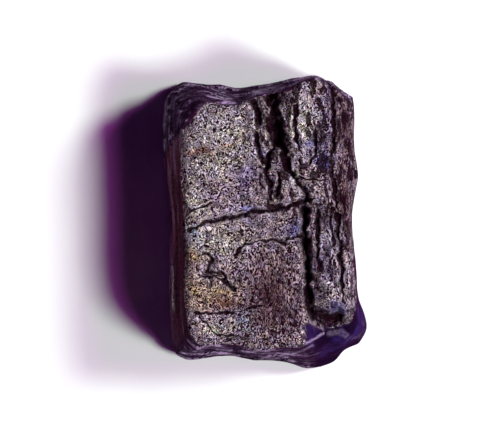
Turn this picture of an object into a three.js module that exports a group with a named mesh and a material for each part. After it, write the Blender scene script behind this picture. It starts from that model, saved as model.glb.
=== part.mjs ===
// A rough tanzanite crystal lying on a flat cleavage face: one closed solid, in millimetres.
//
// +Y runs along the prism, the way its striations run. +Z is up. The origin is the middle of
// the stone's box, on the plane it rests on. The upper prism face is a plateau of plates, parted
// by a gouge, cracks and a deep groove. The long sides are steep prism faces. Both ends are
// broken into terraces and shell-shaped scoops, and the front right corner ends in two lobes.

import * as THREE from 'three';
import { mergeVertices } from 'three/addons/utils/BufferGeometryUtils.js';

// Driving dimensions.
const LENGTH = 22.0; // along Y
const WIDTH = 15.4; // along X
const HEIGHT = 10.4; // along Z

// Cells of the surface: across the plateau, along it, and up each wall.
const CELLS_ACROSS = 36;
const CELLS_ALONG = 52;
const CELLS_UP = 11;

// The widest outline seen from above, as [x, y] points. The front and back sides run from left
// to right, and the left and right sides from front to back.
const FRONT = [
  [-6.9, -10.0], [-5.8, -10.45], [-4.0, -10.25], [-2.5, -10.2], [-1.0, -10.5],
  [0.8, -10.6], [2.3, -11.0], [3.7, -11.1], [5.1, -10.7], [5.85, -9.85], [6.95, -9.35],
];
const BACK = [
  [-7.25, 9.6], [-6.5, 10.3], [-5.3, 10.6], [-4.6, 10.65], [-2.4, 9.85], [-0.6, 10.1],
  [1.2, 10.5], [3.2, 11.0], [4.4, 10.65], [5.3, 9.9], [6.5, 9.1],
];
const LEFT = [
  [-6.9, -10.0], [-7.15, -8.2], [-7.35, -5.4], [-7.25, -1.0], [-7.5, 2.4],
  [-7.8, 5.0], [-7.7, 8.4], [-7.25, 9.6],
];
const RIGHT = [
  [6.95, -9.35], [7.55, -8.2], [7.35, -7.0], [6.85, -5.6], [6.6, -3.0], [6.4, -0.2],
  [6.6, 1.5], [6.85, 3.1], [6.6, 5.2], [6.6, 7.6], [6.5, 9.1],
];

// How far the plateau's rim is set in from that outline, as [share along the side, inset].
const FRONT_RIM = [[0, 1.2], [0.25, 1.0], [0.5, 1.1], [0.65, 1.6], [0.8, 2.2], [1, 1.9]];
const BACK_RIM = [[0, 2.2], [0.2, 1.7], [0.4, 1.3], [0.6, 1.1], [0.78, 0.6], [1, 1.0]];
const LEFT_RIM = [[0, 1.5], [0.3, 1.35], [0.7, 1.35], [0.85, 1.7], [1, 2.2]];
const RIGHT_RIM = [[0, 1.7], [0.12, 1.1], [0.25, 0.5], [0.5, 0.45], [0.62, 0.6], [1, 0.9]];

// Each wall's profile: at each [share of the height], the share of the rim's inset it has there.
const FRONT_WALL = [[0.1, 0], [0.26, 0.1], [0.34, 0.34], [0.52, 0.42], [0.6, 0.66], [0.84, 0.78], [1, 1]];
const BACK_WALL = [[0.1, 0], [0.22, 0.14], [0.3, 0.38], [0.5, 0.48], [0.58, 0.68], [0.82, 0.8], [1, 1]];
const LEFT_WALL = [[0.1, 0], [0.35, 0.22], [0.65, 0.5], [0.88, 0.78], [1, 1]];
const RIGHT_WALL = [[0.1, 0], [0.5, 0.14], [0.75, 0.38], [0.92, 0.7], [1, 1]];

// How far each wall's foot turns in under the widest outline, over FOOT_TOP of the height.
const FRONT_FOOT = 0.5;
const BACK_FOOT = 0.4;
const LEFT_FOOT = 0.3;
const RIGHT_FOOT = 0.4;
const FOOT_TOP = 0.1;

// The plateau's rim is rounded off over this width, by this drop.
const RIM_WIDTH = 0.8;
const RIM_DROP = 0.3;

// Valleys in the plateau, each along a line of [x, y] points.
const GROOVE = {
  line: [[3.0, 0.7], [2.95, -2.0], [3.15, -4.6], [3.4, -6.2]],
  reach: 0.44,
  depth: 0.9,
};
const SIDE_GROOVE = {
  line: [[4.0, 1.2], [4.0, -1.6], [4.25, -3.6]],
  reach: 0.45,
  depth: 0.45,
};
const GOUGE = {
  line: [[0.3, 9.4], [0.45, 7.8], [0.6, 6.0]],
  reach: 0.7,
  depth: 0.65,
};
const RIGHT_BRANCH = {
  line: [[0.9, 6.6], [1.4, 5.0], [1.9, 3.4], [2.8, 1.8]],
  reach: 0.5,
  depth: 0.45,
};
const LEFT_BRANCH = {
  line: [[0.1, 4.6], [0.2, 3.1], [0.6, 1.7]],
  reach: 0.5,
  depth: 0.45,
};
const CROSS_CRACK = {
  line: [[-4.5, 0.2], [-2.0, 0.5], [0.6, 0.9], [3.0, 1.5]],
  reach: 0.4,
  depth: 0.3,
};
const PIT = {
  line: [[4.2, -7.1], [5.4, -6.9]],
  reach: 1.0,
  depth: 0.6,
};
const VALLEYS = [GROOVE, SIDE_GROOVE, GOUGE, RIGHT_BRANCH, LEFT_BRANCH, CROSS_CRACK, PIT];

// Parts of the plateau that stand lower: each falls from `inner` to `outer` across X, and from
// `front` to `back` along Y.
const SHOULDER = { inner: 4.5, outer: 6.6, front: 0.4, back: 1.6, drop: 1.2 };
const COLUMN = { inner: 3.1, outer: 3.9, front: 1.0, back: 0.0, drop: 0.35 };
const CORNER = { inner: 2.6, outer: 5.0, front: -6.0, back: -8.6, drop: 2.2 };
const BACK_LEFT_PLATE = { inner: 0.3, outer: -0.6, front: 0.2, back: 1.0, drop: 0.2 };
const FRONT_PLATE = { inner: -2.3, outer: -1.3, front: -0.9, back: -1.9, drop: 0.15 };
const DROPS = [SHOULDER, COLUMN, CORNER, BACK_LEFT_PLATE, FRONT_PLATE];

// The plateau's own slope, as its fall across the whole width and along the whole length.
const FALL_ACROSS = 0.3;
const FALL_ALONG = 0.25;

// Flat facets: whatever lies beyond the plane is pressed back onto it.
const FACETS = [
  { through: [-5.2, 7.9, 10.2], normal: [-0.62, 0.5, 0.6] },
  { through: [-6.2, -9.2, 7.6], normal: [-0.7, -0.62, 0.35] },
  { through: [6.1, 10.15, 5.2], normal: [0.6, 0.76, 0.25] },
];

// Shell-shaped scoops: whatever lies inside the ball is pushed back onto its surface.
const SCOOPS = [
  { centre: [-3.0, -7.9, 15.85], radius: 6.0 },
  { centre: [-3.6, -14.6, 5.6], radius: 4.95 },
  { centre: [0.6, -15.5, 2.4], radius: 5.0 },
  { centre: [0.4, -14.2, 9.6], radius: 4.55 },
  { centre: [6.3, -13.2, 7.6], radius: 3.9 },
  { centre: [-4.6, 14.8, 2.2], radius: 4.9 },
  { centre: [-0.9, 15.0, 6.4], radius: 5.15 },
  { centre: [3.9, 15.8, 1.8], radius: 5.5 },
  { centre: [12.2, -3.2, 6.4], radius: 5.85 },
  { centre: [11.6, 0.6, 3.0], radius: 5.35 },
  { centre: [-12.9, -4.6, 3.0], radius: 5.9 },
];

// The slow unevenness of the walls.
const WALL_WAVE = 0.1;

const mix = (a, b, share) => a + (b - a) * share;

const bump = (distance, reach) => Math.exp(-((distance / reach) ** 2));

// Eases from 0 to 1 as the value goes from one bound to the other, whichever is the larger.
function ease(from, to, value) {
  const share = Math.min(1, Math.max(0, (value - from) / (to - from)));
  return share * share * (3 - 2 * share);
}

// The value at a place between stations of [place, value], which are joined by straight lines.
function at(stations, place) {
  const next = stations.findIndex(([station]) => station >= place);
  if (next < 0) return stations[stations.length - 1][1];
  if (next === 0) return stations[0][1];
  const [from, low] = stations[next - 1];
  const [to, high] = stations[next];
  return mix(low, high, (place - from) / (to - from));
}

// A side of the outline as a smooth curve through its points.
const side = (points) => new THREE.SplineCurve(points.map(([x, y]) => new THREE.Vector2(x, y)));

const front = side(FRONT);
const back = side(BACK);
const left = side(LEFT);
const right = side(RIGHT);

// The point at shares s across and t along, inside the four sides: a Coons patch.
function inside(s, t) {
  const between = front.getPointAt(s).lerp(back.getPointAt(s), t);
  between.add(left.getPointAt(t).lerp(right.getPointAt(t), s));
  const low = front.getPoint(0).lerp(front.getPoint(1), s);
  const high = back.getPoint(0).lerp(back.getPoint(1), s);
  return between.sub(low.lerp(high, t));
}

// How far a wall is set in from the outline, at a share of the height and along the side.
function inset(rim, wall, foot, height, along) {
  const under = Math.max(0, 1 - height / FOOT_TOP) ** 2;
  return at(rim, along) * at(wall, height) + foot * under;
}

function distanceTo(line, x, y) {
  const point = new THREE.Vector3(x, y, 0);
  const nearest = new THREE.Vector3();
  let least = Infinity;
  for (let i = 1; i < line.length; i++) {
    const from = new THREE.Vector3(...line[i - 1], 0);
    const to = new THREE.Vector3(...line[i], 0);
    new THREE.Line3(from, to).closestPointToPoint(point, true, nearest);
    least = Math.min(least, nearest.distanceTo(point));
  }
  return least;
}

// The plateau's height above the resting plane, where its rim is as far away as `toRim`.
function plateau(x, y, toRim) {
  let height = HEIGHT - FALL_ACROSS * (x / WIDTH + 0.5) - FALL_ALONG * (0.5 - y / LENGTH);
  for (const { line, reach, depth } of VALLEYS) {
    height -= depth * bump(distanceTo(line, x, y), reach);
  }
  for (const { inner, outer, front: start, back: end, drop } of DROPS) {
    height -= drop * ease(inner, outer, x) * ease(start, end, y);
  }
  return height - RIM_DROP * (1 - ease(0, RIM_WIDTH, toRim));
}

// Long waves that run along a wall, from -1 to 1.
const wave = (a, b) => 0.6 * Math.sin(0.8 * a + 1.9 * Math.sin(0.9 * b)) + 0.4 * Math.sin(2.3 * b - 0.5 * a);

function pressOntoFacets(point) {
  for (const { through, normal } of FACETS) {
    const facet = new THREE.Plane();
    facet.setFromNormalAndCoplanarPoint(new THREE.Vector3(...normal).normalize(), new THREE.Vector3(...through));
    if (facet.distanceToPoint(point) > 0) facet.projectPoint(point.clone(), point);
  }
}

function pushOutOfScoops(point) {
  for (const { centre, radius } of SCOOPS) {
    const ball = new THREE.Vector3(...centre);
    if (point.distanceTo(ball) < radius) point.sub(ball).setLength(radius).add(ball);
  }
}

// Moves a point of the unit box, whose corner is at the origin, to its place on the stone.
function place(point) {
  const { x: across, y: along, z: height } = point;
  const s0 = inset(LEFT_RIM, LEFT_WALL, LEFT_FOOT, height, along) / WIDTH;
  const s1 = inset(RIGHT_RIM, RIGHT_WALL, RIGHT_FOOT, height, along) / WIDTH;
  const t0 = inset(FRONT_RIM, FRONT_WALL, FRONT_FOOT, height, across) / LENGTH;
  const t1 = inset(BACK_RIM, BACK_WALL, BACK_FOOT, height, across) / LENGTH;
  const { x, y } = inside(mix(s0, 1 - s1, across), mix(t0, 1 - t1, along));
  const toRim = Math.min(across * WIDTH, (1 - across) * WIDTH, along * LENGTH, (1 - along) * LENGTH);
  point.set(x, y, height * plateau(x, y, toRim));
  if (height < 1) {
    const outward = new THREE.Vector3(x / WIDTH, y / LENGTH, 0).normalize();
    point.addScaledVector(outward, WALL_WAVE * wave(x + y, point.z) * Math.sin(Math.PI * height));
  }
  pushOutOfScoops(point);
  pressOntoFacets(point);
  if (height === 0) point.z = 0;
}

// A unit box without its lower face, in cells.
function openBox() {
  const box = new THREE.BoxGeometry(1, 1, 1, CELLS_ACROSS, CELLS_ALONG, CELLS_UP);
  box.translate(0.5, 0.5, 0.5);
  const lower = box.groups[5];
  box.setIndex(Array.from(box.index.array).toSpliced(lower.start, lower.count));
  box.deleteAttribute('normal');
  box.deleteAttribute('uv');
  return mergeVertices(box);
}

// Splits every cell along its shorter diagonal, so that creases run along edges.
function splitCells(shape) {
  const corners = shape.attributes.position;
  const corner = (i) => new THREE.Vector3().fromBufferAttribute(corners, i);
  const index = [];
  for (let i = 0; i < shape.index.count; i += 6) {
    const [a, b, d, , c] = shape.index.array.subarray(i, i + 6);
    const bd = corner(b).distanceTo(corner(d));
    const ac = corner(a).distanceTo(corner(c));
    index.push(...(bd < ac ? [a, b, d, b, c, d] : [a, b, c, a, c, d]));
  }
  shape.setIndex(index);
}

// Closes the stone with the flat face it rests on: a fan from its middle to the walls' feet.
function closeBelow(shape) {
  const corners = shape.attributes.position;
  const index = Array.from(shape.index.array);
  const middle = corners.count;
  for (let i = 0; i < shape.index.count; i += 3) {
    const face = shape.index.array.subarray(i, i + 3);
    face.forEach((from, j) => {
      const to = face[(j + 1) % 3];
      if (corners.getZ(from) === 0 && corners.getZ(to) === 0) index.push(to, from, middle);
    });
  }
  shape.setAttribute('position', new THREE.Float32BufferAttribute([...corners.array, 0, 0, 0], 3));
  shape.setIndex(index);
}

// Moves and scales the stone so that its box is exactly WIDTH by LENGTH by HEIGHT.
function fit(shape) {
  shape.computeBoundingBox();
  const size = shape.boundingBox.getSize(new THREE.Vector3());
  const middle = shape.boundingBox.getCenter(new THREE.Vector3());
  shape.translate(-middle.x, -middle.y, 0);
  shape.scale(WIDTH / size.x, LENGTH / size.y, HEIGHT / size.z);
}

function stone() {
  const shape = openBox();
  const corners = shape.attributes.position;
  const point = new THREE.Vector3();
  for (let i = 0; i < corners.count; i++) {
    point.fromBufferAttribute(corners, i);
    place(point);
    corners.setXYZ(i, point.x, point.y, point.z);
  }
  splitCells(shape);
  closeBelow(shape);
  fit(shape);
  shape.computeVertexNormals();
  return shape;
}

const skin = new THREE.MeshStandardMaterial({ color: 0x5a4858, roughness: 0.45, metalness: 0.2 });

const crystal = new THREE.Mesh(stone(), skin);
crystal.name = 'tanzanite_crystal';

const part = new THREE.Group();
part.add(crystal);

export default part;
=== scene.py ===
"""A rough tanzanite crystal, laid on a pale table under two lamps in a dim room.

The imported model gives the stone's block. This script takes a copy of it, rounds it, cuts the
cracks and gouges into its etched face, and presses in the grain, the striations and the ledges.
One finish covers it, from a pewter lustre on the etched face to violet glass at the broken ends.

The places below are in millimetres from the middle of the stone's box, seen from above. In the
meshes everything is in metres, in the frame's own axes.
"""

import math

import bmesh
import bpy
import numpy as np
from bpy.props import FloatProperty, FloatVectorProperty, IntProperty, PointerProperty
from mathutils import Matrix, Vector


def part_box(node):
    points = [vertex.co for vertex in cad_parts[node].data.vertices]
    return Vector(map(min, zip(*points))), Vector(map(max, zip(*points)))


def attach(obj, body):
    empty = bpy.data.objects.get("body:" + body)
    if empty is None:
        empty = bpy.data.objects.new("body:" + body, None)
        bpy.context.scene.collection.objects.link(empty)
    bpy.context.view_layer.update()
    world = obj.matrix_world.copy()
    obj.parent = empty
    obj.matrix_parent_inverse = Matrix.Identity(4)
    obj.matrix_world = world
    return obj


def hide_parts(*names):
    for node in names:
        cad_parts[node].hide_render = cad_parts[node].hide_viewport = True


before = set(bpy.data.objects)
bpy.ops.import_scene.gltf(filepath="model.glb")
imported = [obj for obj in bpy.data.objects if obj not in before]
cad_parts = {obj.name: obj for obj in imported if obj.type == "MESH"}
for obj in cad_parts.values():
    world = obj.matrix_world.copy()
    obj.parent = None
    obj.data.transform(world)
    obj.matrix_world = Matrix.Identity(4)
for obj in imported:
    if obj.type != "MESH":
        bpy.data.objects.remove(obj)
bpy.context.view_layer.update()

bl_info = {
    "name": "Rough Tanzanite Crystal",
    "version": (1, 0, 0),
    "blender": (4, 5, 0),
    "location": "View3D > Sidebar > Tanzanite",
    "description": "Builds a rough tanzanite crystal and the table it lies on",
    "category": "Add Mesh",
}

NODE = "tanzanite_crystal"
BODY = "root"
MM = 0.001

LOW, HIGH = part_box(NODE)
SIZE = (HIGH - LOW) / MM
MIDDLE = (HIGH + LOW) / 2 / MM

# Where each run of random numbers starts, added to the seed, so that the mesh and the finish
# press and paint the same lumps, lines and ledges.
WORM_RUN, LONG_WORM_RUN, SWAY_RUN = 0.0, 1.0, 3.0
FINE_RUN, LUMP_RUN, LONG_LUMP_RUN, LINE_RUN = 5.0, 7.0, 8.0, 11.0
BROAD_RUN, NARROW_RUN, LAYER_RUN = 19.0, 20.0, 27.0
SHADE_MOTTLE_RUN, HUE_RUN, GAP_RUN, DEPTH_RUN, STRETCH_RUN, BAND_RUN = 37.0, 41.0, 45.0, 53.0, 61.0, 67.0

# The narrower set of ledges, by the spacing of the broad one.
NARROW_LEDGE = 0.37

# The deep groove along the stone, the gouge at its back and the crack across it.
GROOVE = [(2.85, 1.1), (2.9, -0.2), (3.0, -1.7), (3.1, -3.3), (3.05, -5.3), (3.15, -5.9), (3.5, -6.5)]
GOUGE = [(0.3, 9.6), (0.6, 6.2), (1.3, 4.6), (1.9, 3.3)]
CROSS_CRACK = [
    (-5.55, -0.53), (-4.37, 0.13), (-1.94, 0.5), (-0.77, 0.86), (0.63, 0.94), (2.1, 1.3), (2.98, 1.6),
]

# Cracks in the etched face: the line, half its width, its depth, and how much higher the side
# on the line's left stands beside it.
CRACKS = [
    (GROOVE, 0.34, 1.1, -0.1),
    ([(3.5, -6.6), (4.4, -7.05), (5.5, -6.9)], 0.6, 0.7, 0.0),
    ([(3.86, 0.94), (3.79, -0.2), (3.86, -2.2), (4.0, -3.4)], 0.22, 0.45, 0.05),
    ([(5.3, 0.6), (5.5, -2.4), (5.75, -5.7)], 0.2, 0.35, 0.08),
    ([(4.85, 0.9), (4.95, -1.8)], 0.16, 0.2, -0.05),
    (CROSS_CRACK, 0.2, 0.4, -0.14),
    ([(0.2, 1.25), (1.4, 1.05), (3.0, 1.75)], 0.3, 0.35, -0.1),
    ([(-5.5, 0.72), (-4.0, 1.45)], 0.13, 0.14, 0.05),
    ([(-2.24, -2.44), (-1.8, -1.78), (-0.62, -1.34), (0.78, -1.27), (1.5, -1.56)], 0.17, 0.24, 0.12),
    ([(1.5, -1.27), (2.7, -0.9)], 0.14, 0.2, 0.06),
    ([(-1.0, 9.5), (-0.8, 8.6), (-0.45, 7.3)], 0.3, 0.5, 0.1),
    ([(0.25, 9.4), (0.55, 8.2), (0.35, 7.0), (0.7, 5.9)], 0.5, 0.6, -0.16),
    ([(0.7, 5.9), (0.2, 4.9), (0.15, 4.3)], 0.3, 0.5, -0.1),
    ([(0.9, 7.4), (1.1, 6.2), (1.5, 5.2), (1.5, 4.4), (1.95, 3.5)], 0.36, 0.55, 0.1),
    ([(0.15, 4.3), (0.0, 3.6), (0.3, 2.9), (0.5, 1.6)], 0.24, 0.45, -0.1),
    ([(-0.4, 3.6), (-0.25, 2.6)], 0.14, 0.25, 0.0),
    ([(-0.7, 6.6), (-0.5, 5.4), (-0.15, 4.4)], 0.2, 0.35, 0.08),
    ([(0.95, 3.9), (1.1, 2.9), (0.9, 2.0)], 0.16, 0.3, 0.06),
    ([(2.3, 8.6), (2.1, 7.0), (2.5, 5.4)], 0.2, 0.3, -0.08),
    ([(3.6, 7.4), (3.75, 5.6), (3.4, 4.3)], 0.16, 0.25, 0.08),
    ([(1.9, 3.5), (2.6, 2.6), (3.2, 1.7)], 0.24, 0.4, 0.1),
    ([(2.5, 3.4), (3.4, 3.15), (4.3, 3.2)], 0.15, 0.26, -0.06),
    ([(4.85, 10.2), (5.0, 9.0), (4.95, 6.1), (4.9, 3.4), (5.2, 1.2)], 0.2, 0.3, 0.1),
    ([(-4.5, -2.2), (-4.2, -2.3), (-3.85, -2.8), (-4.3, -3.55)], 0.17, 0.32, 0.08),
    ([(-4.3, -3.55), (-3.05, -3.7), (-3.1, -4.1)], 0.17, 0.34, 0.1),
    ([(-4.35, -4.0), (-3.55, -3.9), (-3.1, -4.2), (-2.3, -4.95)], 0.17, 0.32, -0.08),
    ([(-4.05, -4.2), (-3.95, -4.65), (-4.05, -5.1)], 0.1, 0.12, 0.0),
    ([(-5.1, -6.55), (-3.5, -6.7), (-1.9, -6.6)], 0.17, 0.2, 0.06),
    ([(-1.3, -6.35), (-0.3, -6.1)], 0.12, 0.16, 0.0),
    ([(-4.8, -6.85), (-4.35, -7.5), (-3.55, -8.25), (-2.75, -8.4), (-1.9, -8.2)], 0.14, 0.2, 0.1),
    ([(3.3, -6.6), (3.8, -7.2), (4.2, -7.5)], 0.12, 0.2, 0.1),
]

# Painted highlights along the ridges over the clear corner and the end beside it: the line, half its
# width, and how bright the painted highlight is.
RIDGE_HIGHLIGHTS = [
    ([(-1.0, -9.5), (0.3, -9.3), (1.6, -8.9), (3.0, -8.9), (3.8, -8.5), (4.3, -8.2)], 0.1, 0.9),
    ([(0.3, -9.8), (2.2, -9.75), (3.0, -9.35), (3.5, -9.1)], 0.1, 0.9),
    ([(4.8, -8.2), (5.6, -8.1), (6.2, -8.7), (7.0, -8.6), (7.4, -8.1)], 0.22, 0.25),
    ([(6.6, -6.5), (6.75, -6.0), (7.05, -6.9), (7.3, -7.7)], 0.1, 0.8),
    ([(3.3, -6.9), (3.7, -7.5), (4.3, -7.9)], 0.08, 0.8),
]

# Patches of colour on the etched face: the middle, the reach along X and Y, and the colour.
PATCHES = [
    ((-3.0, 6.6), (2.1, 1.5), "pale"),
    ((-3.9, 4.2), (1.3, 0.8), "pale"),
    ((-1.9, 4.6), (0.9, 0.6), "pale"),
    ((-3.6, -1.3), (2.3, 1.1), "pale"),
    ((-5.2, 1.6), (0.8, 1.6), "pale"),
    ((-3.5, -7.8), (1.1, 0.45), "pale"),
    ((2.6, 7.4), (1.2, 1.9), "pale"),
    ((4.7, -1.3), (0.7, 1.2), "pale"),
    ((5.0, -4.6), (0.6, 1.0), "pale"),
    ((2.2, 3.2), (0.6, 0.6), "pale"),
    ((-1.5, -7.4), (0.8, 0.7), "ice"),
    ((-5.3, -1.0), (0.6, 0.5), "ice"),
    ((-4.8, 5.1), (0.9, 0.3), "rust"),
    ((-3.0, 5.6), (0.8, 0.3), "gold"),
    ((-5.4, -2.5), (0.7, 0.9), "gold"),
    ((-3.6, -5.2), (1.5, 0.8), "gold"),
    ((-5.2, -5.3), (0.6, 1.2), "gold"),
    ((-3.0, -6.0), (1.2, 0.35), "rust"),
    ((0.4, -5.6), (2.5, 3.9), "brown"),
    ((5.9, 7.0), (0.9, 3.6), "brown"),
    ((5.9, 1.0), (0.8, 3.6), "brown"),
    # The dark patches lie in and beside the gouges and the pit, and along the face's left edge: partly the
    # stone's own colour, partly painted shade in those hollows.
    ((0.5, 9.2), (1.6, 0.6), "dark"),
    ((0.7, 7.2), (0.5, 1.7), "dark"),
    ((4.9, 8.9), (0.45, 1.8), "dark"),
    ((1.6, 4.5), (0.45, 1.1), "dark"),
    ((4.5, 6.0), (0.3, 3.4), "dark"),
    ((4.8, -7.4), (1.8, 0.7), "dark"),
    ((4.3, 0.4), (0.5, 1.0), "dark"),
    ((-5.9, 0.0), (0.25, 9.0), "dark"),
    ((-0.6, 5.4), (0.4, 0.3), "blue"),
    ((3.4, 5.7), (1.0, 0.4), "blue"),
    ((4.2, 4.6), (0.6, 0.6), "blue"),
    ((5.2, -6.3), (0.7, 0.6), "blue"),
    ((-1.4, 0.9), (0.7, 0.35), "blue"),
    ((2.2, -0.4), (0.6, 0.6), "blue"),
    ((4.3, 7.6), (0.5, 2.0), "violet"),
    ((4.6, -2.8), (0.9, 2.6), "violet"),
    ((-1.4, 3.4), (0.8, 1.4), "violet"),
]


def colour_setting(name, description, default):
    """A setting that holds a colour."""
    return FloatVectorProperty(name=name, description=description, subtype="COLOR", default=default)


class CrystalSettings(bpy.types.PropertyGroup):
    """The sizes and colours of the stone."""

    rounding: IntProperty(
        name="Rounding", description="How many times the block is rounded and split finer",
        default=2, min=1, max=2)
    grain: FloatProperty(
        name="Grain", description="The size of one etched grain, in mm", default=0.195)
    grain_depth: FloatProperty(
        name="Grain Depth", description="How deep the etching is", default=0.085 * MM, unit="LENGTH")
    striation: FloatProperty(
        name="Striation", description="From one striation to the next, in mm", default=0.42)
    striation_depth: FloatProperty(
        name="Striation Depth", description="How deep the striations are", default=0.11 * MM, unit="LENGTH")
    ledge: FloatProperty(
        name="Ledge", description="From one broken ledge to the next, in mm", default=2.6)
    ledge_depth: FloatProperty(
        name="Ledge Depth", description="How far the ledges stand out", default=0.17 * MM, unit="LENGTH")
    seed: IntProperty(
        name="Seed", description="Which run of random grain is used", default=7)
    pewter: colour_setting("Pewter", "The etched grain's crests", (0.6, 0.495, 0.585))
    pale: colour_setting("Pale", "The palest patches of the etched face", (1.0, 0.96, 0.92))
    ice: colour_setting("Ice", "Pale blue patches", (0.50, 0.60, 0.76))
    gold: colour_setting("Gold", "Ochre stain", (0.84, 0.64, 0.41))
    rust: colour_setting("Rust", "Red-brown stain", (0.34, 0.15, 0.09))
    brown: colour_setting("Brown", "The smoother brown plate's crests", (0.13, 0.062, 0.075))
    # Partly the stone's own colour, partly painted shade in the gouges, the pit and along the face's left
    # edge.
    dark: colour_setting("Dark", "Darkened ground beside the gouges", (0.045, 0.016, 0.028))
    blue: colour_setting("Blue", "Blue glints", (0.28, 0.28, 0.66))
    violet: colour_setting("Violet", "Violet haze", (0.44, 0.36, 0.56))
    warm_glint: FloatVectorProperty(
        name="Warm Glint", description="What the warmer grains are multiplied by",
        default=(1.14, 1.04, 0.92))
    cool_glint: FloatVectorProperty(
        name="Cool Glint", description="What the cooler grains are multiplied by",
        default=(0.94, 0.90, 1.08))
    # Painted shade: the valleys between the grains and the cracks are painted this dark colour.
    painted_depth_shade: colour_setting("Depths", "Valleys between the grains", (0.020, 0.003, 0.010))
    glass_dark: colour_setting("Dark Glass", "The broken glassy ends", (0.024, 0.005, 0.026))
    # Painted highlight: the colour of the highlights painted along the ledges, the walls' streaks and foot,
    # and the ridges.
    glass_highlight: colour_setting("Glass Edge", "The edges of the broken ledges", (0.42, 0.29, 0.48))
    maroon: colour_setting("Maroon", "The striated side walls", (0.034, 0.006, 0.017))
    # Painted light: the left wall lies in shade, and these paler, redder colours stand in for light that
    # does not reach it.
    painted_lit_maroon: colour_setting(
        "Shaded Maroon", "The wall on the left, paler and redder", (0.18, 0.045, 0.10))
    painted_lit_brown: colour_setting("Shaded Brown", "The same wall's upper part", (0.095, 0.019, 0.030))
    violet_dark: colour_setting("Dark Violet", "The clear corner's darker parts", (0.005, 0.001, 0.011))
    indigo: colour_setting("Indigo", "The clear corner's body colour", (0.020, 0.008, 0.070))


class StageSettings(bpy.types.PropertyGroup):
    """The table, the lights and the camera."""

    table: colour_setting("Table", "The table's colour", (0.88, 0.86, 0.90))
    flag: colour_setting(
        "Flag", "The table's colour in the stone's reflections, as if black card lay round it",
        (0.05, 0.012, 0.06))
    back_height: FloatProperty(
        name="Back Height", description="How high the lamp at the back right stands over the table",
        subtype="ANGLE", default=math.radians(47.5))
    back_power: FloatProperty(
        name="Back Power", description="The lamp at the back right, in watts", default=1.76)
    front_height: FloatProperty(
        name="Front Height", description="How high the lamp at the front right stands over the table",
        subtype="ANGLE", default=math.radians(54))
    front_power: FloatProperty(
        name="Front Power", description="The lamp at the front right, in watts", default=1.8)
    low_power: FloatProperty(
        name="Low Power", description="The lights that graze the table, in watts", default=0.012)
    room: FloatProperty(
        name="Room", description="How bright the room is", default=0.012)
    distance: FloatProperty(
        name="Distance", description="From the camera to the stone's widest outline",
        default=335 * MM, unit="LENGTH")
    view_width: FloatProperty(
        name="View Width", description="How much of the table the camera sees at that height",
        default=37.8 * MM, unit="LENGTH")


class Value:
    """An output socket that Python's operators work on, by adding nodes."""

    def __init__(self, graph, socket):
        self.graph = graph
        self.socket = socket

    def __add__(self, other):
        return self.graph.math("ADD", self, other)

    def __sub__(self, other):
        return self.graph.math("SUBTRACT", self, other)

    def __rsub__(self, other):
        return self.graph.math("SUBTRACT", other, self)

    def __mul__(self, other):
        return self.graph.math("MULTIPLY", self, other)

    def __truediv__(self, other):
        return self.graph.math("DIVIDE", self, other)

    def __pow__(self, other):
        return self.graph.math("POWER", self, other)

    __radd__ = __add__


class Graph:
    """A node tree, of a material or of Geometry Nodes, with short ways to add nodes to it."""

    def __init__(self, tree):
        self.tree = tree

    def plug(self, socket, value):
        """Links a value to a socket, or sets the socket to a plain number, vector or colour."""
        if isinstance(value, Value):
            self.tree.links.new(value.socket, socket)
        else:
            socket.default_value = value

    def node(self, kind, settings=None, inputs=None, output=0):
        """Adds a node, with its settings and inputs by name, and gives back one of its outputs."""
        node = self.tree.nodes.new(kind)
        for name, setting in (settings or {}).items():
            setattr(node, name, setting)
        for name, value in (inputs or {}).items():
            self.plug(node.inputs[name], value)
        return Value(self, node.outputs[output])

    def math(self, operation, *values):
        return self.node("ShaderNodeMath", {"operation": operation}, dict(enumerate(values)))

    def vector(self, operation, *values):
        return self.node("ShaderNodeVectorMath", {"operation": operation}, dict(enumerate(values)))

    def ramp(self, value, low, high, to_low=0.0, to_high=1.0):
        """Eases from to_low to to_high as the value goes from low to high."""
        inputs = {"Value": value, "From Min": low, "From Max": high, "To Min": to_low, "To Max": to_high}
        return self.node("ShaderNodeMapRange", {"interpolation_type": "SMOOTHSTEP"}, inputs)

    def noise(self, place, scale, detail, roughness, distortion, seed):
        """Noise from 0 to 1. scale is how many bumps there are in a unit of place, along X, Y and Z."""
        inputs = {
            "Vector": self.vector("MULTIPLY", place, scale), "W": seed, "Scale": 1.0,
            "Detail": detail, "Roughness": roughness, "Distortion": distortion,
        }
        return self.node("ShaderNodeTexNoise", {"noise_dimensions": "4D"}, inputs)

    def blend(self, share, low, high):
        """A colour from low to high, as share goes from 0 to 1."""
        inputs = {"Factor": share, 6: low, 7: high}
        return self.node("ShaderNodeMix", {"data_type": "RGBA", "clamp_factor": True}, inputs, output=2)


def even(size):
    """The same scale along X, Y and Z, for bumps of that size."""
    return (1 / size,) * 3


def colour(value):
    """A setting's colour with full alpha."""
    return (*value, 1.0)


def grain_sizes(stone):
    """The sizes that both the mesh and the finish take the grain, lines and ledges from."""
    return {
        "grain": stone.grain, "striation": stone.striation, "ledge": stone.ledge, "seed": float(stone.seed),
    }


def drawn_out(across, along):
    """The scale of bumps that are drawn out along Y."""
    return (1 / across, 1 / along, 1 / across)


def worm_height(graph, place, drawn, sizes):
    """Etched worms from 0 to 1: level lines of slow noise. Where they are drawn out, they run along Y."""
    grain, seed = sizes["grain"], sizes["seed"]
    sway = graph.noise(place, even(1.7 * grain), 1.0, 0.5, 0.0, seed + SWAY_RUN)
    round_slow = graph.noise(place, even(2.5 * grain), 2.0, 0.5, 0.8, seed + WORM_RUN)
    long_scale = drawn_out(2.1 * grain, 5.5 * grain)
    long_slow = graph.noise(place, long_scale, 2.0, 0.5, 0.8, seed + LONG_WORM_RUN)
    slow = round_slow * (1 - drawn) + long_slow * drawn
    turns = graph.math("SINE", (slow * 9.0 + sway) * math.tau)
    return turns * 0.5 + 0.5


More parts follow.
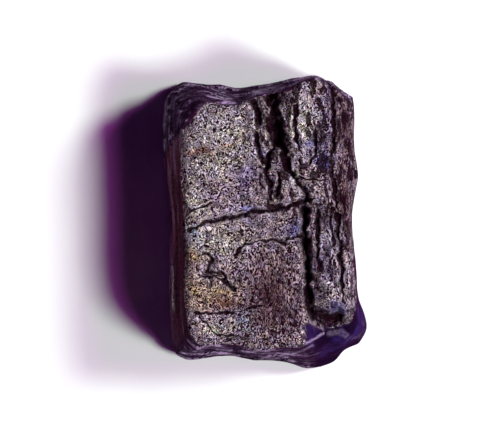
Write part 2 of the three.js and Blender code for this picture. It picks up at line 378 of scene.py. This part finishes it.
def lump_height(graph, place, drawn, sizes):
    """The uneven lumps under the worms, from 0 to 1. Where they are drawn out, they run along Y."""
    grain, seed = sizes["grain"], sizes["seed"]
    round_lump = graph.noise(place, even(1.5 * grain), 2.5, 0.55, 0.6, seed + LUMP_RUN)
    long_scale = drawn_out(1.3 * grain, 4.5 * grain)
    long_lump = graph.noise(place, long_scale, 2.5, 0.55, 0.5, seed + LONG_LUMP_RUN)
    return round_lump * (1 - drawn) + long_lump * drawn


def striation_height(graph, place, sizes):
    """Striations along Y, from 0 to 1."""
    near = 1 / sizes["striation"]
    return graph.noise(place, (near, 0.06 * near, 0.8 * near), 3.0, 0.6, 0.25, sizes["seed"] + LINE_RUN)


def ledge_height(graph, place, ledge, seed):
    """Broken ledges across the ends, from 0 to 1: up a wall, each swells slowly and drops off sharply."""
    height = graph.node("ShaderNodeSeparateXYZ", inputs={0: place}, output=2)
    warp = graph.noise(place, (0.3, 0.0, 0.1), 1.5, 0.5, 0.4, seed)
    return graph.math("FRACT", height / ledge + warp * 2.4)


def both_ledges(graph, place, sizes):
    """The broad ledges and the narrow ones between them."""
    broad = ledge_height(graph, place, sizes["ledge"], sizes["seed"] + BROAD_RUN)
    narrow = ledge_height(graph, place, NARROW_LEDGE * sizes["ledge"], sizes["seed"] + NARROW_RUN)
    return broad, narrow


def layer_height(graph, place, sizes):
    """Thin layers that lie across the broken ends, from 0 to 1."""
    return graph.noise(place, (0.45, 2.6, 2.2), 3.0, 0.6, 0.5, sizes["seed"] + LAYER_RUN)


def etching_tree(stone, material):
    """Geometry Nodes that press the grain, the striations and the ledges into a surface."""
    tree = bpy.data.node_groups.new("etched_surface", "GeometryNodeTree")
    tree.interface.new_socket("Geometry", in_out="INPUT", socket_type="NodeSocketGeometry")
    for name in ("Grain Depth", "Striation Depth", "Ledge Depth"):
        socket = tree.interface.new_socket(name, in_out="INPUT", socket_type="NodeSocketFloat")
        socket.subtype = "DISTANCE"
    tree.interface.new_socket("Geometry", in_out="OUTPUT", socket_type="NodeSocketGeometry")
    graph = Graph(tree)
    group = tree.nodes.new("NodeGroupInput")
    inputs = {socket.name: Value(graph, socket) for socket in group.outputs if socket.name}
    sizes = grain_sizes(stone)

    def weight(name):
        return graph.node("GeometryNodeInputNamedAttribute", {"data_type": "FLOAT"}, {"Name": name})

    def pressed(geometry, height):
        normal = graph.node("GeometryNodeInputNormal")
        offset = graph.node("ShaderNodeVectorMath", {"operation": "SCALE"}, {0: normal, "Scale": height})
        return graph.node("GeometryNodeSetPosition", inputs={"Geometry": geometry, "Offset": offset})

    place = graph.vector("MULTIPLY", graph.node("GeometryNodeInputPosition"), (1 / MM,) * 3)
    broad, narrow = both_ledges(graph, place, sizes)
    ledges = (broad - 0.5) + (narrow - 0.5) * 0.4 + (layer_height(graph, place, sizes) - 0.5) * 0.6
    ledges = ledges * weight("layered") * inputs["Ledge Depth"]
    lines = (striation_height(graph, place, sizes) - 0.5) * weight("striated") * inputs["Striation Depth"]
    lumps = graph.ramp(lump_height(graph, place, weight("drawn"), sizes), 0.34, 0.62) - 0.6
    grains = lumps * weight("etched") * inputs["Grain Depth"]
    geometry = pressed(inputs["Geometry"], ledges + lines * 2)
    geometry = pressed(geometry, grains)
    geometry = graph.node("GeometryNodeRealizeInstances", inputs={"Geometry": geometry})
    geometry = graph.node("GeometryNodeSetMaterial", inputs={"Geometry": geometry, "Material": material})
    output = tree.nodes.new("NodeGroupOutput")
    graph.plug(output.inputs[0], geometry)
    return tree


def etch(piece, stone, material):
    """Runs the etching over a piece and makes the result its own mesh."""
    tree = etching_tree(stone, material)
    modifier = piece.modifiers.new("etching", "NODES")
    modifier.node_group = tree
    depths = {
        "Grain Depth": stone.grain_depth,
        "Striation Depth": stone.striation_depth,
        "Ledge Depth": stone.ledge_depth,
    }
    for item in tree.interface.items_tree:
        if item.name in depths:
            modifier[item.identifier] = depths[item.name]
    keep_evaluated(piece)


def keep_evaluated(piece):
    """Makes a piece's mesh what its modifiers show, and removes them."""
    bpy.context.view_layer.update()
    shown = piece.evaluated_get(bpy.context.evaluated_depsgraph_get())
    mesh = bpy.data.meshes.new_from_object(shown)
    old = piece.data
    piece.modifiers.clear()
    piece.data = mesh
    mesh.name = piece.name
    bpy.data.meshes.remove(old)


def ease(low, high, value):
    """Eases from 0 to 1 as the value goes from low to high, whichever is the larger."""
    share = np.clip((value - low) / (high - low), 0, 1)
    return share * share * (3 - 2 * share)


def ripple(seed, x, y, size):
    """Smooth random waves from -1 to 1, about `size` across. Each use has a seed of its own."""
    table = np.random.default_rng(seed).uniform(-1, 1, (64, 64))
    u, v = x / size, y / size
    i, j = np.floor(u).astype(int), np.floor(v).astype(int)
    s, t = ease(0, 1, u - i), ease(0, 1, v - j)
    low = table[i % 64, j % 64] * (1 - s) + table[(i + 1) % 64, j % 64] * s
    high = table[i % 64, (j + 1) % 64] * (1 - s) + table[(i + 1) % 64, (j + 1) % 64] * s
    return low * (1 - t) + high * t


def beside(line, x, y):
    """The distance from a line of points, and the side of it: 1 on its left, -1 on its right."""
    least = np.full(len(x), np.inf)
    side = np.ones(len(x))
    for (ax, ay), (bx, by) in zip(line, line[1:]):
        along = ((x - ax) * (bx - ax) + (y - ay) * (by - ay)) / ((bx - ax) ** 2 + (by - ay) ** 2)
        along = np.clip(along, 0, 1)
        gap_x, gap_y = x - ax - along * (bx - ax), y - ay - along * (by - ay)
        gap = np.hypot(gap_x, gap_y)
        nearer = gap < least
        least = np.where(nearer, gap, least)
        side = np.where(nearer, np.sign((bx - ax) * gap_y - (by - ay) * gap_x), side)
    return least, side


def vertices(mesh):
    """The mesh's vertices, as rows of X, Y and Z in metres."""
    places = np.empty(len(mesh.vertices) * 3, np.float32)
    mesh.vertices.foreach_get("co", places)
    return places.reshape(-1, 3).astype(float)


def move_vertices(mesh, places):
    """Puts the mesh's vertices at new places."""
    mesh.vertices.foreach_set("co", places.astype(np.float32).ravel())
    mesh.update()


def normals(mesh):
    """The way the surface faces at each vertex."""
    directions = np.empty(len(mesh.vertices) * 3, np.float32)
    mesh.vertices.foreach_get("normal", directions)
    return directions.reshape(-1, 3).astype(float)


def block(name, rounding):
    """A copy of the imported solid, its doubles merged and its block rounded and split finer."""
    mesh = bpy.data.meshes.new(name)
    shape = bmesh.new()
    shape.from_mesh(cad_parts[NODE].data)
    bmesh.ops.remove_doubles(shape, verts=shape.verts, dist=0.002 * MM)
    bmesh.ops.join_triangles(
        shape, faces=shape.faces,
        angle_face_threshold=math.radians(50), angle_shape_threshold=math.radians(60))
    split_tall_cells(shape)
    shape.to_mesh(mesh)
    shape.free()
    piece = bpy.data.objects.new(name, mesh)
    bpy.context.scene.collection.objects.link(piece)
    subdivision = piece.modifiers.new("rounding", "SUBSURF")
    subdivision.levels = subdivision.render_levels = rounding
    keep_evaluated(piece)
    return piece


def split_tall_cells(shape):
    """Halves the walls' cells, which are about twice as tall as they are wide."""
    brink = 0.88 * HIGH.z
    tall = [
        edge for edge in shape.edges
        if abs(edge.verts[0].co.z - edge.verts[1].co.z) > 0.75 * edge.calc_length()
        and min(vert.co.z for vert in edge.verts) < brink
    ]
    bmesh.ops.subdivide_edges(shape, edges=tall, cuts=1, use_grid_fill=True)


def break_face(mesh):
    """Cuts the cracks into the etched face, and stores where they run.

    The attribute "cut" is the distance from the nearest crack's line, over half its width, with
    its sign telling the side. "near" is 1 close to a crack and 0 away from it. What is given back
    is the same over a wider band, beside the deep cracks only.
    """
    x, y, z = stone_places(mesh)
    face = ease(0.2, 0.6, normals(mesh)[:, 2]) * ease(0.6 * SIZE.z, 0.72 * SIZE.z, z)
    crooked_x = x + 0.11 * ripple(1, x, y, 0.5) + 0.08 * ripple(2, x, y, 0.24)
    crooked_y = y + 0.11 * ripple(3, x, y, 0.5) + 0.08 * ripple(4, x, y, 0.24)
    drop = 0.07 * ripple(5, x, y, 2.4) + 0.06 * ripple(6, x, y, 0.9)
    far_off = 3.0
    cut = np.full(len(x), far_off)
    near, ground = np.zeros(len(x)), np.zeros(len(x))
    for line, width, depth, throw in CRACKS:
        gap, side = beside(line, crooked_x, crooked_y)
        width = width * (1 + 0.55 * ripple(8, x, y, 0.5))
        inside = np.clip(1 - gap / width, 0, 1)
        drop -= depth * inside ** 0.7
        drop += 0.5 * throw * side * np.exp(-gap / 0.7) * (1 - inside)
        cut = np.where(gap / width < np.abs(cut), gap / width * side, cut)
        near = np.maximum(near, ease(2.0 * width + 0.15, 1.2 * width, gap))
        ground = np.maximum(ground, ease(width + 0.7, width + 0.3, gap) * ease(0.15, 0.3, depth))
    places = vertices(mesh)
    places[:, 2] += drop * face * MM
    move_vertices(mesh, places)
    set_weights(mesh, "cut", cut)
    set_weights(mesh, "near", near * face)
    return ground * face


def stone_places(mesh):
    """X, Y and Z of the mesh's vertices, in millimetres from the middle of the stone's foot."""
    return (vertices(mesh) / MM - np.array([MIDDLE.x, MIDDLE.y, 0])).T


def set_weights(mesh, name, values):
    """Stores one number for each vertex, under a name that the finish reads."""
    layer = mesh.attributes.new(name, "FLOAT", "POINT")
    layer.data.foreach_set("value", values.astype(np.float32))


def mark_zones(mesh, stone, facing, ground):
    """Stores what each part of the surface is, in attributes from 0 to 1 that the finish reads.

    "etched", "striated", "layered" and "clear" are the four kinds of surface: the face on top,
    the side walls, the broken ends, and the corner at the front right. The back left corner is
    broken off slantwise, and counts as an end. "drawn" is where the grain runs along Y.
    """
    x, y, z = stone_places(mesh)
    wander = 0.12 * ripple(21, x, y + z, 0.9) + 0.08 * ripple(22, x + z, y, 0.35)
    cut_corner = ease(8.85, 9.25, 0.65 * y - 0.76 * x + wander)
    up = np.maximum(ease(0.62, 0.86, facing[:, 2] + wander), ground) * (1 - cut_corner)
    left = ease(0.45, 0.75, -facing[:, 0]) * (1 - up)
    right = ease(0.45, 0.75, facing[:, 0]) * (1 - up)
    ends = np.maximum(ease(0.35, 0.7, np.abs(facing[:, 1])), cut_corner) * (1 - up)
    clear = clear_corner(x, y, z, wander)
    worn = ease(-0.3, 0.5, ripple(23, y, z, 2.1))
    column = ease(4.2, 4.8, x) * ease(0.45, 0.6, z / SIZE.z + 0.5 * wander) * (facing[:, 2] > -0.2)
    etched = np.clip(np.maximum(up, column) + 0.35 * right * worn, 0, 1) * (1 - clear)
    brown_plate = np.exp(-((x - 0.4) / 2.3) ** 4 - ((y + 5.2) / 3.4) ** 4)
    drawn = np.clip(brown_plate + ease(4.3, 5.2, x) + right + 0.6 * left, 0, 1)
    set_weights(mesh, "etched", etched)
    set_weights(mesh, "drawn", drawn)
    set_weights(mesh, "striated", np.clip(left + right, 0, 1) * (1 - clear))
    set_weights(mesh, "layered", ends * (1 - 0.8 * clear))
    set_weights(mesh, "clear", clear)
    mark_details(mesh, facing, wander, up, left, right)
    mark_tint(mesh, stone, etched)


def clear_corner(x, y, z, wander):
    """How far each point is inside the clear corner at the front right. Its border swirls low down."""
    swirl = ripple(26, x + y, z, 1.7) * ease(0.85, 0.55, z / SIZE.z)
    border = y + 2.2 * wander + 0.5 * ripple(25, x, y, 1.0) + 1.2 * swirl
    in_front = ease(-7.1, -8.1, border - 0.35 * ease(3.6, 4.6, x) - 1.7 * ease(6.2, 6.9, x))
    return in_front * ease(2.6, 4.2, x + 0.35 * (y + 10) + 2.2 * wander + swirl)


def mark_details(mesh, facing, wander, up, left, right):
    """Stores where the etched face is broken open, and where the walls and the corner differ.

    One weight is the broken ground around the gouge and the pit, and from them to the right edge, where
    the gaps between the grain's bulges are painted dark as shade and its crests painted brighter. One is
    the left wall, which lies in shade and is painted paler and redder as if lit, and one its pale flakes,
    painted pale partly as their own colour and partly as their glints. One is the lower part of every
    wall, one a band at the walls' foot painted as a highlight, and one the lines over the clear corner,
    painted as highlights.
    """
    x, y, z = stone_places(mesh)
    gouge, _ = beside(GOUGE, x, y)
    plate = ease(1.2, 2.2, x) * (0.65 + 0.65 * ease(0.0, 3.0, y))
    pit = 1.4 * np.exp(-(((x - 4.7) / 1.6) ** 2 + ((y + 7.3) / 0.7) ** 2))
    beside_gouge = 1.3 * ease(2.3, 1.0, gouge + 2 * wander)
    set_weights(mesh, "broken", np.maximum(np.maximum(plate, pit), beside_gouge))
    # The left wall lies in shade; this weight paints it paler as if lit.
    set_weights(mesh, "painted_fill", left * ease(10.0, 7.5, np.abs(y) + 2 * wander))
    set_weights(mesh, "low", ease(0.66, 0.4, z / SIZE.z + 0.2 * ripple(27, y, z, 2.5)))
    ridge_highlight = np.zeros(len(x))
    for line, width, bright in RIDGE_HIGHLIGHTS:
        gap, _ = beside(line, x + 0.5 * wander, y + 0.5 * wander)
        ridge_highlight = np.maximum(ridge_highlight, bright * ease(1.5 * width, 0.3 * width, gap))
    set_weights(mesh, "ridge_highlight", ridge_highlight * ease(0.15, 0.4, facing[:, 2]))
    # Pale flakes on the left wall, partly their own colour, partly painted pale to stand for their glints
    # in the shade.
    chips_and_glints = ease(0.17, 0.06, np.abs(x + 6.88 + 0.5 * wander)) * ease(-0.6, 0.0, ripple(24, y, z, 0.6))
    set_weights(mesh, "chips_and_glints", chips_and_glints * ease(-6.9, -6.3, y) * ease(-2.6, -3.4, y) * left)
    # A band at the walls' foot, painted as a pale highlight.
    set_weights(mesh, "rim_highlight", ease(0.17, 0.12, z / SIZE.z + 0.02 * wander) * (1 - up) * (1 - 0.85 * right))


def mark_tint(mesh, stone, etched):
    """Stores the colour of the etched grain's crests, patch by patch, as "tint"."""
    x, y, _ = stone_places(mesh)
    tint = np.tile(np.array(stone.pewter), (len(x), 1))
    worn_x = x + 0.35 * ripple(31, x, y, 0.9)
    worn_y = y + 0.35 * ripple(32, x, y, 0.9)
    for (middle_x, middle_y), (reach_x, reach_y), name in PATCHES:
        away = ((worn_x - middle_x) / reach_x) ** 2 + ((worn_y - middle_y) / reach_y) ** 2
        share = (0.95 * (np.exp(-away) * etched))[:, None]
        tint = tint * (1 - share) + np.array(getattr(stone, name)) * share
    layer = mesh.attributes.new("tint", "FLOAT_COLOR", "POINT")
    layer.data.foreach_set("color", np.c_[tint, np.ones(len(x))].astype(np.float32).ravel())


def fit_to_box(mesh, low, high):
    """Scales a mesh by a hair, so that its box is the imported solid's own."""
    places = vertices(mesh)
    share = (places - places.min(0)) / (places.max(0) - places.min(0))
    move_vertices(mesh, np.array(low) + share * (np.array(high) - np.array(low)))


def add_bake_map(mesh, facing):
    """A UV map of six charts, one for each side of the box, all at one scale.

    The charts are laid out in millimetres, a gap apart, and then shrunk to the whole map.
    """
    gap = 0.6
    wide, long, tall = SIZE
    whole = 2 * long
    corners = {
        (2, 1): (0, 0), (2, -1): (wide + gap, 0), (0, -1): (2 * (wide + gap), 0),
        (0, 1): (0, long + gap), (1, -1): (long + gap, long + gap), (1, 1): (0, long + tall + 2 * gap),
    }
    across = {0: (1, 2), 1: (0, 2), 2: (0, 1)}
    places = vertices(mesh) / MM - np.array(LOW) / MM
    uv = mesh.uv_layers.new(name="OFBake")
    starts = np.empty(len(mesh.polygons), np.int32)
    totals = np.empty(len(mesh.polygons), np.int32)
    mesh.polygons.foreach_get("loop_start", starts)
    mesh.polygons.foreach_get("loop_total", totals)
    corner_vertex = np.empty(len(mesh.loops), np.int32)
    mesh.loops.foreach_get("vertex_index", corner_vertex)
    face_way = np.add.reduceat(facing[corner_vertex], starts, axis=0)
    main_axis = np.abs(face_way).argmax(1)
    axis = np.repeat(main_axis, totals)
    sign = np.repeat(np.sign(face_way[np.arange(len(face_way)), main_axis]), totals)
    flat = np.zeros((len(corner_vertex), 2))
    for (chart_axis, chart_sign), (left, bottom) in corners.items():
        chosen = (axis == chart_axis) & (sign == chart_sign)
        u, v = (places[corner_vertex[chosen]][:, i] for i in across[chart_axis])
        if (chart_axis, chart_sign) == (0, -1):
            u, v = v, u
        flat[chosen] = np.c_[u + left + gap, v + bottom + gap] / whole
    uv.data.foreach_set("uv", flat.astype(np.float32).ravel())


class Finish(Graph):
    """The stone's finish, with the heights and the attributes that its parts share."""

    def __init__(self, tree, stone):
        super().__init__(tree)
        self.stone = stone
        sizes = grain_sizes(stone)
        self.seed = sizes["seed"]
        place = self.node("ShaderNodeTexCoord", output="Object")
        self.place = self.vector("MULTIPLY", place, (1 / MM,) * 3)
        self.worms = worm_height(self, self.place, self.weight("drawn"), sizes)
        self.lumps = lump_height(self, self.place, self.weight("drawn"), sizes)
        self.fine = self.noise(self.place, even(0.13), 2.0, 0.6, 0.5, self.seed + FINE_RUN)
        self.shade_mottle = self.noise(self.place, even(0.8), 2.0, 0.6, 0.3, self.seed + SHADE_MOTTLE_RUN)
        self.line = striation_height(self, self.place, sizes)
        self.layer = layer_height(self, self.place, sizes)
        self.broad, self.narrow = both_ledges(self, self.place, sizes)

    def weight(self, name):
        return self.node("ShaderNodeAttribute", {"attribute_name": name}, output="Fac")

    def paint(self, name):
        """One of the stone's own colours."""
        return colour(getattr(self.stone, name))


def crack_edges(finish):
    """How far a point is inside a crack, painted dark as shade, and how far on its lips, painted bright as
    highlights.
    """
    near = finish.weight("near")
    off_crack = finish.math("ABSOLUTE", finish.weight("cut") + finish.fine * 0.4 - 0.2)
    crack = finish.ramp(off_crack, 0.75, 0.3) * near
    lip_highlight = finish.ramp(off_crack, 0.75, 1.0) * finish.ramp(off_crack, 1.8, 1.2) * near
    return crack, lip_highlight


def etched_shade(finish, crest, lip_highlight):
    """Painted light on the etched grain: highlights on its crests and the cracks' lips, shade on broken
    ground.
    """
    broken = finish.weight("broken")
    # Painted shade: on broken ground the gaps between the bulges are painted dark, and a slow mottling
    # paints shade over the undulations.
    gaps = finish.noise(finish.place, (1.6, 0.7, 1.0), 2.5, 0.6, 0.5, finish.seed + GAP_RUN)
    open_ground = finish.math("MAXIMUM", 1 - broken * finish.ramp(gaps, 0.53, 0.45), 0.1)
    shade = crest * open_ground * finish.ramp(finish.shade_mottle, 0.3, 0.62, 0.5, 1.2)
    # The crests on broken ground are painted brighter, as highlights.
    shade = shade * (1 + broken * 0.35)
    return shade + lip_highlight * finish.ramp(finish.fine, 0.45, 0.6) * 0.6


def etched_paint(finish, shade):
    """From the painted shade in the valleys to the crests' tint, which glints warm here and cool there."""
    hue = finish.noise(finish.place, even(0.55), 2.0, 0.7, 0.6, finish.seed + HUE_RUN)
    cool = finish.ramp(hue, 0.38, 0.62)
    glint = finish.blend(cool, finish.paint("warm_glint"), finish.paint("cool_glint"))
    tint = finish.node("ShaderNodeAttribute", {"attribute_name": "tint"}, output="Color")
    return finish.blend(shade, finish.paint("painted_depth_shade"), finish.vector("MULTIPLY", tint, glint))


def wall_paint(finish):
    """Maroon striated walls, with painted highlights as pale streaks and as a band at the foot.
    The left wall lies in shade and is painted paler and redder, in bands, as if lit.
    """
    patchy = finish.ramp(finish.shade_mottle, 0.35, 0.6, 0.15, 1.0)
    # Painted highlights: pale streaks along the striations, and the band at the walls' foot.
    streak_highlight = (finish.ramp(finish.line, 0.56, 0.64) * 0.3 + finish.weight("rim_highlight") * 0.55) * patchy
    band = finish.noise(finish.place, (1.3, 0.12, 0.45), 3.0, 0.6, 0.3, finish.seed + BAND_RUN)
    painted_fill = finish.blend(finish.weight("low"), finish.paint("painted_lit_brown"), finish.paint("painted_lit_maroon"))
    painted_fill = finish.blend(finish.ramp(band, 0.5, 0.36), painted_fill, finish.paint("maroon"))
    wall = finish.blend(finish.weight("painted_fill"), finish.paint("maroon"), painted_fill)
    streak_highlight = streak_highlight + finish.ramp(band, 0.54, 0.6) * finish.weight("painted_fill") * 0.32
    return finish.blend(streak_highlight, wall, finish.paint("glass_highlight"))


def end_paint(finish):
    """Dark glass ends, with painted highlights as pale treads where the ledges and layers stand out."""
    tread_highlight = finish.ramp(finish.broad, 0.95, 0.98) * 0.7 + finish.ramp(finish.narrow, 0.93, 0.97) * 0.4
    tread_highlight = tread_highlight + finish.ramp(finish.layer, 0.57, 0.62)
    stretch = finish.noise(finish.place, (0.45, 1.4, 0.7), 2.0, 0.6, 0.3, finish.seed + STRETCH_RUN)
    tread_highlight = tread_highlight * finish.ramp(stretch, 0.42, 0.58, 0.1, 1.0)
    return finish.blend(tread_highlight, finish.paint("glass_dark"), finish.paint("glass_highlight"))


def clear_paint(finish):
    """The clear corner's violet, which seems deeper in places."""
    depth = finish.noise(finish.place, even(2.2), 2.0, 0.5, 0.6, finish.seed + DEPTH_RUN)
    return finish.blend(finish.ramp(depth, 0.42, 0.62), finish.paint("violet_dark"), finish.paint("indigo"))


def stone_material(stone):
    """One finish for the whole stone, from the etched face's pewter to the ends' violet glass."""
    material = bpy.data.materials.new("tanzanite_rough")
    material.use_nodes = True
    material.node_tree.nodes.clear()
    finish = Finish(material.node_tree, stone)
    # The colour below carries painted light: highlights on the grain's crests, the cracks' lips, the ends'
    # treads, the walls' streaks and foot, the ridges and the flakes; shade in the valleys, cracks and gaps;
    # and the left wall painted paler as if lit.
    fine, ridge_highlight = finish.fine, finish.weight("ridge_highlight")
    etched, clear, layered = finish.weight("etched"), finish.weight("clear"), finish.weight("layered")
    relief = finish.worms * 0.45 + fine * 0.8 + finish.lumps * 0.5
    # The grain's crests are painted bright as highlights, and its valleys dark as shade.
    crest = finish.ramp(relief, 0.7, 1.07) ** 2.3
    crack, lip_highlight = crack_edges(finish)
    shade = etched_shade(finish, crest, lip_highlight)

    grainy = finish.ramp(etched + (fine - 0.5) * 0.9, 0.25, 0.75)
    body = finish.blend(layered, wall_paint(finish), end_paint(finish))
    body = finish.blend(clear, body, clear_paint(finish))
    # Painted highlights along the ridges over the clear corner.
    body = finish.blend(ridge_highlight * finish.ramp(fine, 0.35, 0.6, 0.15, 0.8), body, finish.paint("glass_highlight"))
    body = finish.blend(grainy, body, etched_paint(finish, shade))
    # The cracks are painted with the same dark colour, as painted shade.
    body = finish.blend(crack * 0.97, body, finish.paint("painted_depth_shade"))
    # The left wall's flakes, painted pale: partly their own colour, partly painted highlights.
    body = finish.blend(finish.weight("chips_and_glints") * finish.ramp(fine, 0.5, 0.56), body, finish.paint("pale"))

    rough = 0.22 - clear * 0.08 + fine * 0.12 + grainy * (finish.ramp(crest, 0.0, 0.7, 0.14, 0.0) + 0.06)
    metal = grainy * (0.93 - shade * 0.55)
    height = relief * etched * 1.3 + fine * 0.12
    height = height + finish.line * finish.weight("striated") * 1.6 + finish.layer * layered * 1.6
    height = height + ridge_highlight * 1.2 - crack * 1.5
    bump = finish.node("ShaderNodeBump", inputs={"Strength": 1.0, "Distance": 0.1 * MM, "Height": height})
    surface = finish.node("ShaderNodeBsdfPrincipled", inputs={
        "Base Color": body, "Roughness": rough, "Metallic": metal, "IOR": 1.32, "Normal": bump,
    })
    output = finish.tree.nodes.new("ShaderNodeOutputMaterial")
    finish.plug(output.inputs["Surface"], surface)
    return material


def make_crystal(stone):
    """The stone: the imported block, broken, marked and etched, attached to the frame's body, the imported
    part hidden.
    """
    piece = block("tanzanite_rough", stone.rounding)
    facing = normals(piece.data)
    ground = break_face(piece.data)
    mark_zones(piece.data, stone, facing, ground)
    etch(piece, stone, stone_material(stone))
    flatten_foot(piece.data, facing)
    fit_to_box(piece.data, LOW, HIGH)
    add_bake_map(piece.data, facing)
    for face in piece.data.polygons:
        face.use_smooth = True
    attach(piece, BODY)
    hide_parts(NODE)
    return piece


def flatten_foot(mesh, facing):
    """Keeps the underside on the plane that the stone rests on."""
    places = vertices(mesh)
    under = facing[:, 2] < -0.9
    places[under, 2] = LOW.z
    places[:, 2] = np.maximum(places[:, 2], LOW.z)
    move_vertices(mesh, places)


def make_table(stage):
    """A pale table under the stone. In the stone's reflections alone it is as dark as black card."""
    half = 600 * MM
    mesh = bpy.data.meshes.new("table")
    corners = [(-half, -half, LOW.z), (half, -half, LOW.z), (half, half, LOW.z), (-half, half, LOW.z)]
    mesh.from_pydata(corners, [], [(0, 1, 2, 3)])
    table = bpy.data.objects.new("table", mesh)
    bpy.context.scene.collection.objects.link(table)
    material = bpy.data.materials.new("white_table")
    material.use_nodes = True
    shader = material.node_tree.nodes["Principled BSDF"]
    shader.inputs["Base Color"].default_value = colour(stage.table)
    shader.inputs["Roughness"].default_value = 0.9
    shader.inputs["Specular IOR Level"].default_value = 0.1
    graph = Graph(material.node_tree)
    mirrored = graph.node("ShaderNodeLightPath", output="Is Glossy Ray")
    flag = graph.node("ShaderNodeBsdfDiffuse", inputs={"Color": colour(stage.flag)})
    pale = Value(graph, shader.outputs[0])
    mixed = graph.node("ShaderNodeMixShader", inputs={0: mirrored, 1: pale, 2: flag})
    graph.plug(material.node_tree.nodes["Material Output"].inputs["Surface"], mixed)
    mesh.materials.append(material)


def add_light(name, turn, height, distance, size, power, tint):
    """A disk of light, `turn` round from +X and `height` over the table, aimed at the stone."""
    data = bpy.data.lights.new(name, "AREA")
    data.shape = "DISK"
    data.size = size
    data.energy = power
    data.color = tint
    light = bpy.data.objects.new(name, data)
    bpy.context.scene.collection.objects.link(light)
    target = Vector((0, 0, HIGH.z / 2))
    away = Vector((math.cos(turn) * math.cos(height), math.sin(turn) * math.cos(height), math.sin(height)))
    light.location = target + away * distance
    light.rotation_euler = (-away).to_track_quat("-Z", "Y").to_euler()


def make_lamp(name, turn, height, power):
    """A green-white core in a wider purple halo that stands a little higher."""
    lean = math.radians(0.85)
    distance = 0.45
    core_size, core_share, core_tint = 0.09, 0.6, (0.98, 1.56, 0.95)
    halo_size, halo_share, halo_tint = 0.16, 0.4, (1.03, 0.16, 1.075)
    add_light(name + "_core", turn, height - lean, distance, core_size, core_share * power, core_tint)
    add_light(name + "_halo", turn, height + lean, distance, halo_size, halo_share * power, halo_tint)


def make_lights(stage):
    """Two lamps on the right, and three faint purple lights that graze the table on the other sides."""
    make_lamp("back", math.radians(17), stage.back_height, stage.back_power)
    make_lamp("front", math.radians(-23), stage.front_height, stage.front_power)
    low_height, low_distance, low_size, low_tint = math.radians(9), 0.3, 0.12, (0.75, 0.15, 0.9)
    for name, turn, share in (("low_left", 172, 1.7), ("low_back", 95, 0.75), ("low_front", 262, 0.75)):
        power = share * stage.low_power
        add_light(name, math.radians(turn), low_height, low_distance, low_size, power, low_tint)


def make_room(stage):
    """A dim purple room, which the camera alone sees in the table's colour."""
    world = bpy.data.worlds.new("room")
    world.use_nodes = True
    world.node_tree.nodes.clear()
    graph = Graph(world.node_tree)
    seen = graph.node("ShaderNodeLightPath", output="Is Camera Ray")
    purple = (0.6, 0.12, 1.0, 1.0)
    dim = graph.node("ShaderNodeBackground", inputs={"Color": purple, "Strength": stage.room})
    pale = graph.node("ShaderNodeBackground", inputs={"Color": colour(stage.table), "Strength": 1.0})
    mixed = graph.node("ShaderNodeMixShader", inputs={0: seen, 1: dim, 2: pale})
    output = world.node_tree.nodes.new("ShaderNodeOutputWorld")
    graph.plug(output.inputs["Surface"], mixed)
    bpy.context.scene.world = world


def make_camera(stage):
    """Looks straight down, with the stone a little right of and below the middle."""
    data = bpy.data.cameras.new("camera")
    data.sensor_width = 36.0
    data.lens = data.sensor_width * stage.distance / stage.view_width
    camera = bpy.data.objects.new("camera", data)
    bpy.context.scene.collection.objects.link(camera)
    left, back = 1.13 * MM, 0.64 * MM
    widest = 0.1 * HIGH.z
    camera.location = (-left, back, widest + stage.distance)
    bpy.context.scene.camera = camera


class CrystalOperator(bpy.types.Operator):
    """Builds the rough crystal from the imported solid"""

    bl_idname = "object.build_tanzanite_crystal"
    bl_label = "Build Crystal"

    def execute(self, context):
        make_crystal(context.scene.tanzanite_crystal)
        return {"FINISHED"}


class StageOperator(bpy.types.Operator):
    """Lays the table and sets the lights and the camera"""

    bl_idname = "object.build_tanzanite_stage"
    bl_label = "Build Stage"

    def execute(self, context):
        stage = context.scene.tanzanite_stage
        make_table(stage)
        make_lights(stage)
        make_room(stage)
        make_camera(stage)
        context.scene.view_settings.view_transform = "Standard"
        return {"FINISHED"}


class TanzanitePanel(bpy.types.Panel):
    """Lists what this add-on builds, with its settings."""

    bl_idname = "VIEW3D_PT_tanzanite"
    bl_label = "Tanzanite"
    bl_space_type = "VIEW_3D"
    bl_region_type = "UI"
    bl_category = "Tanzanite"

    def draw(self, context):
        for operator, settings in (
            (CrystalOperator, context.scene.tanzanite_crystal),
            (StageOperator, context.scene.tanzanite_stage),
        ):
            self.layout.operator(operator.bl_idname)
            for name in settings.__annotations__:
                self.layout.prop(settings, name)


CLASSES = (CrystalSettings, StageSettings, CrystalOperator, StageOperator, TanzanitePanel)


def register():
    for cls in CLASSES:
        bpy.utils.register_class(cls)
    bpy.types.Scene.tanzanite_crystal = PointerProperty(type=CrystalSettings)
    bpy.types.Scene.tanzanite_stage = PointerProperty(type=StageSettings)


def unregister():
    del bpy.types.Scene.tanzanite_stage
    del bpy.types.Scene.tanzanite_crystal
    for cls in reversed(CLASSES):
        bpy.utils.unregister_class(cls)


def main():
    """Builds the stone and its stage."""
    register()
    bpy.ops.object.build_tanzanite_crystal()
    bpy.ops.object.build_tanzanite_stage()


if __name__ == "__main__":
    main()
